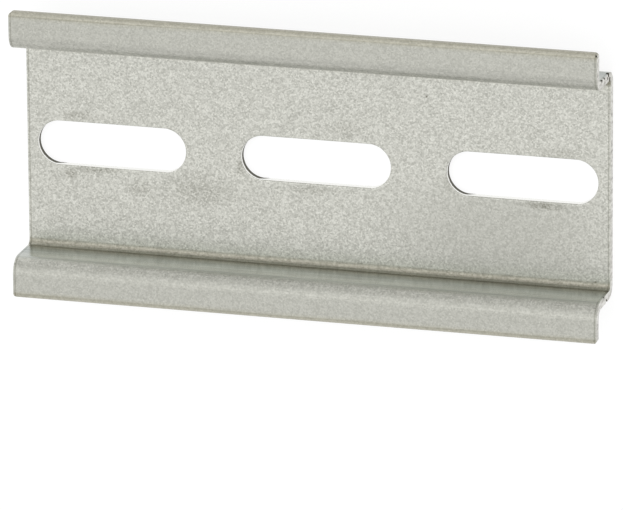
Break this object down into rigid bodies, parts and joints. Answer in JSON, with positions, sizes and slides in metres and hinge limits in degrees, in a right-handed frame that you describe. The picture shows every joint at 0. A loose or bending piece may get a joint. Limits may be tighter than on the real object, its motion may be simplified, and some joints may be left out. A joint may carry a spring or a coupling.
{
  "type": "din rail",
  "caption": "Short slotted top-hat rail of zinc-coated steel that clip-on electrical gear snaps to, screwed down through the slots along its web.",
  "frame": {"origin": "middle of the rail's box, on the back of the web, which lies on the floor or the panel", "axes": "+X along the rail, +Y across it, +Z from the back of the web out of the channel, towards the lips"},
  "size_m": [0.071, 0.035, 0.0075],
  "materials": {
    "zinc_coated_steel": "satin, passivated zinc over cold-rolled steel, bare at the slit edges and the cut ends"
  },
  "bodies": {
    "root": {"rail": "zinc_coated_steel"}
  },
  "joints": []
}
